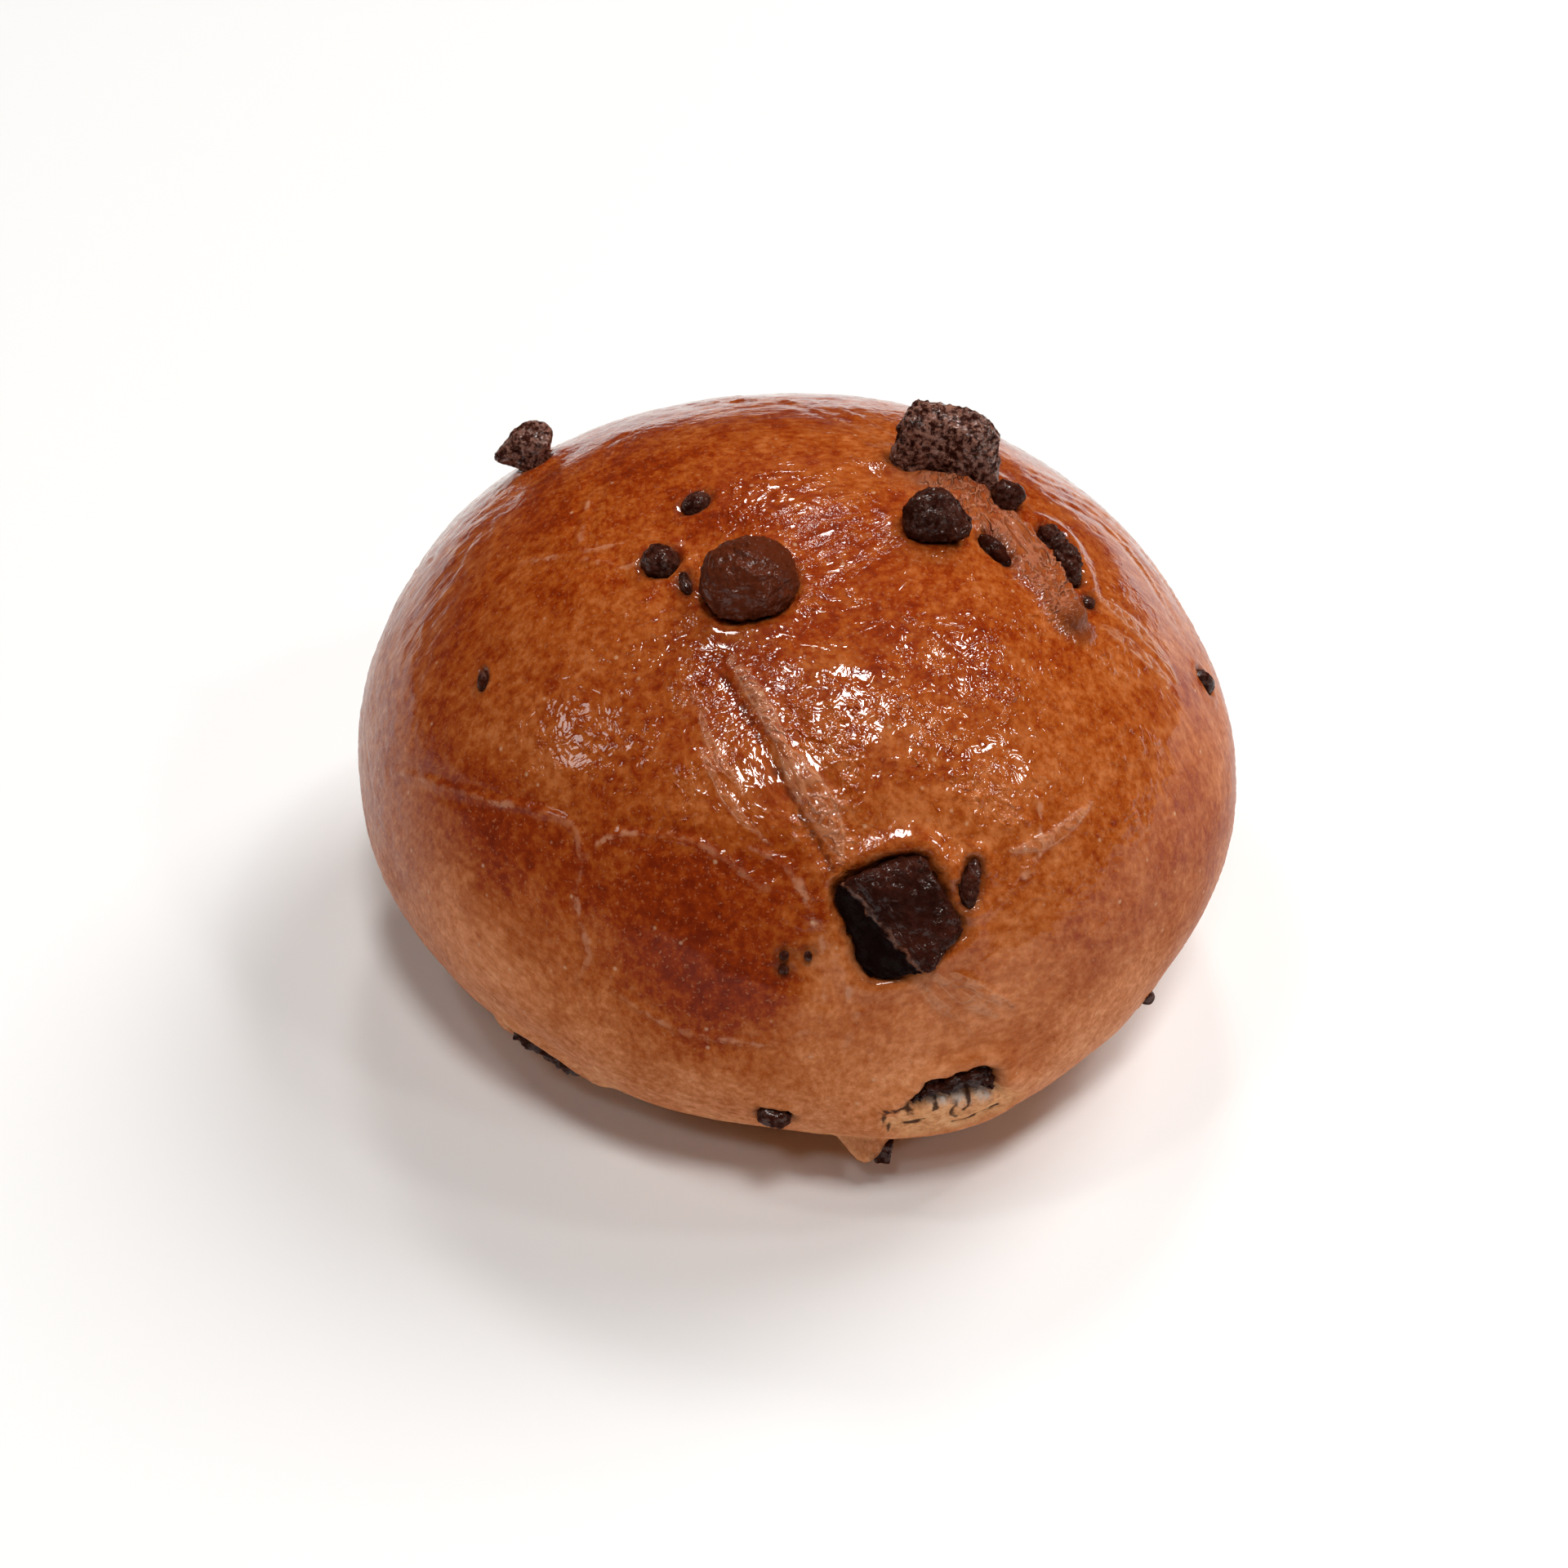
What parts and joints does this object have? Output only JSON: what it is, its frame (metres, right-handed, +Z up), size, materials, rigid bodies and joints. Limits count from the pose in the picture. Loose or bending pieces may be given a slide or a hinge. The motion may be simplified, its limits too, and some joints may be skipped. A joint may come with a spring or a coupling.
{
  "type": "chocolate chip brioche bun",
  "caption": "Round glazed brioche bun with chocolate chips set in its crust, resting on a flat baked underside.",
  "frame": {"origin": "middle of the bun's whole outline, at the level of its flat underside", "axes": "+Z up out of the crown; the side with the large sunk chunk of chocolate and the torn skin faces -Y; +X to the right of that side"},
  "size_m": [0.1088, 0.1062, 0.074],
  "materials": {
    "crust": "satin",
    "chocolate": "satin"
  },
  "bodies": {
    "root": {"bun": "crust", "chip_crown_chunk": "chocolate", "chip_crown_drop": "chocolate", "chip_crown_bead": "chocolate", "chip_crown_slit": "chocolate", "chip_ridge_long": "chocolate", "chip_ridge_dot": "chocolate", "chip_top_round": "chocolate", "chip_top_sunk": "chocolate", "chip_top_tail": "chocolate", "chip_top_peeping": "chocolate", "chip_shoulder_drop": "chocolate", "chip_shoulder_speck": "chocolate", "chip_front_chunk": "chocolate", "chip_front_sliver": "chocolate", "chip_front_crumb_a": "chocolate", "chip_front_crumb_b": "chocolate", "chip_front_crumb_c": "chocolate", "chip_low_front": "chocolate", "chip_torn_arch": "chocolate", "chip_nub": "chocolate", "chip_right_edge": "chocolate", "chip_right_low": "chocolate", "chip_left_low": "chocolate", "chip_back_chunk": "chocolate", "chip_back_drop": "chocolate", "chip_back_long": "chocolate", "chip_back_sunk": "chocolate", "chip_back_bead": "chocolate", "chip_back_speck": "chocolate", "chip_back_low": "chocolate"}
  },
  "joints": []
}
